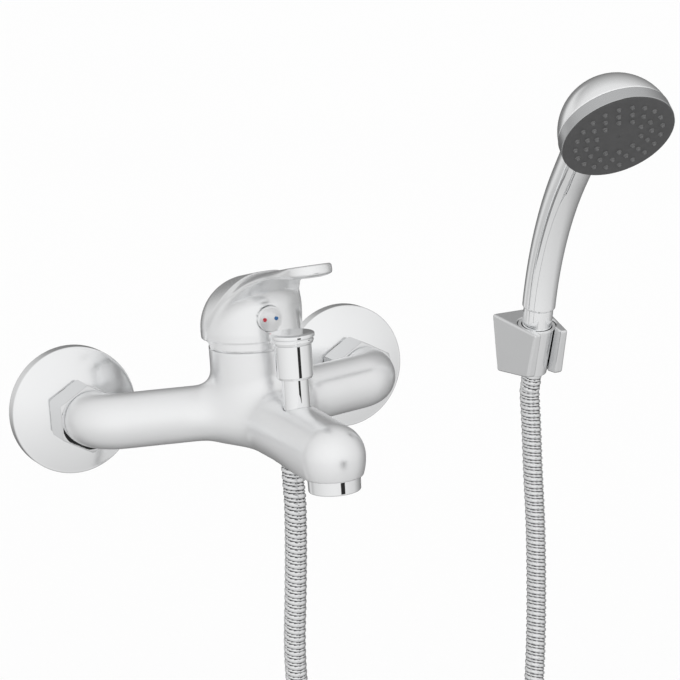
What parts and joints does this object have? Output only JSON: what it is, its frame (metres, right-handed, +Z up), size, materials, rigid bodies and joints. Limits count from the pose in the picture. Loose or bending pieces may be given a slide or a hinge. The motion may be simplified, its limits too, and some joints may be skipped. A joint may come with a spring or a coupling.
{
  "type": "bath shower mixer",
  "caption": "Wall-mounted single-lever bath mixer with swept arms, round spout, pull-up diverter, and a hand shower on a ribbed hose in a wall bracket.",
  "frame": {"origin": "on the wall plane, midway between the two inlets", "axes": "+X right as seen from the room, +Y into the wall, +Z up"},
  "size_m": [0.3142, 0.185, 0.5115],
  "materials": {
    "chrome_cast": "polished chrome plating on cast brass",
    "chrome_trim": "polished chrome plating on pressed steel",
    "chrome_nut": "polished chrome plating",
    "plated_brass": "machined, plated where seen",
    "seal_rubber": "moulded",
    "cartridge_plastic": "moulded",
    "ceramic_disc": "lapped",
    "steel": "turned",
    "chrome_lever": "polished chrome plating on cast zinc",
    "hot_red": "printed dot",
    "cold_blue": "printed dot",
    "chrome_knob": "polished chrome plating",
    "chrome_aerator": "polished chrome plating",
    "aerator_plastic": "moulded",
    "hose_fitting": "polished chrome plating",
    "hose_steel": "bright ribbed strip",
    "tie_plastic": "moulded",
    "handset_chrome": "chrome plating on moulded plastic",
    "ring_silver": "satin chrome plating on moulded plastic",
    "plate_grey": "fine matt",
    "nozzle_rubber": "soft moulded",
    "bracket_grey": "satin metallic"
  },
  "bodies": {
    "fixed": {"mixer_body": "chrome_cast", "left_wall_rose": "chrome_trim", "right_wall_rose": "chrome_trim", "left_eccentric_union": "plated_brass", "right_eccentric_union": "plated_brass", "left_union_nut": "chrome_nut", "right_union_nut": "chrome_nut", "left_inlet_tail": "plated_brass", "right_inlet_tail": "plated_brass", "left_union_washer": "seal_rubber", "right_union_washer": "seal_rubber", "cartridge_seal": "seal_rubber", "cartridge_base": "cartridge_plastic", "fixed_disc": "ceramic_disc", "cartridge_housing": "cartridge_plastic", "retaining_nut": "plated_brass", "cover_cap": "chrome_trim", "diverter_sleeve": "chrome_knob", "diverter_seal": "seal_rubber", "aerator_housing": "chrome_aerator", "aerator_insert": "aerator_plastic", "aerator_washer": "seal_rubber", "hose_outlet_fitting": "hose_fitting", "hose_outlet_washer": "seal_rubber", "hose_mixer_leg": "hose_steel", "hose_coil": "hose_steel", "hose_tie": "tie_plastic", "hose_handset_leg": "hose_steel", "wall_bracket": "bracket_grey"},
    "carrier": {"spindle_carrier": "cartridge_plastic"},
    "lever": {"lever": "chrome_lever", "lever_spindle": "steel", "lever_grub_screw": "steel", "index_plug": "chrome_lever", "hot_mark": "hot_red", "cold_mark": "cold_blue"},
    "disc": {"disc_holder": "cartridge_plastic", "moving_disc": "ceramic_disc"},
    "diverter": {"diverter_spindle": "steel", "diverter_valve": "seal_rubber", "diverter_knob": "chrome_knob"},
    "hose_end": {"hose_swivel": "hose_fitting"},
    "handset": {"hose_nut": "hose_fitting", "handset_washer": "seal_rubber", "handset_shell": "handset_chrome", "head_ring": "ring_silver", "face_seal": "seal_rubber", "spray_nozzles": "nozzle_rubber", "spray_plate": "plate_grey"}
  },
  "joints": [
    {"name": "lever_turn", "type": "hinge", "parent": "fixed", "child": "carrier", "pos_m": [0, -0.068, 0.0309], "axis": [0, 0, 1], "range_deg": [-45, 45]},
    {"name": "lever_lift", "type": "hinge", "parent": "carrier", "child": "lever", "pos_m": [0, -0.068, 0.0309], "axis": [-1, 0, 0], "range_deg": [0, 25]},
    {"name": "disc_slide", "type": "slide", "parent": "carrier", "child": "disc", "axis": [0, -1, 0], "range_m": [0, 0.0043]},
    {"name": "diverter_pull", "type": "slide", "parent": "fixed", "child": "diverter", "axis": [0, 0, 1], "range_m": [0, 0.0055]},
    {"name": "handset_lift", "type": "slide", "parent": "fixed", "child": "hose_end", "axis": [0, -0.2924, 0.9563], "range_m": [0, 0.06], "deforming": ["hose_handset_leg"]},
    {"name": "handset_swivel", "type": "hinge", "parent": "hose_end", "child": "handset", "pos_m": [0.183, -0.0205, 0.008], "axis": [0, -0.2924, 0.9563], "range_deg": [-60, 60]}
  ],
  "couplings": [
    {"joint": "disc_slide", "follows": "lever_lift", "m_per_rad": 0.009686}
  ]
}
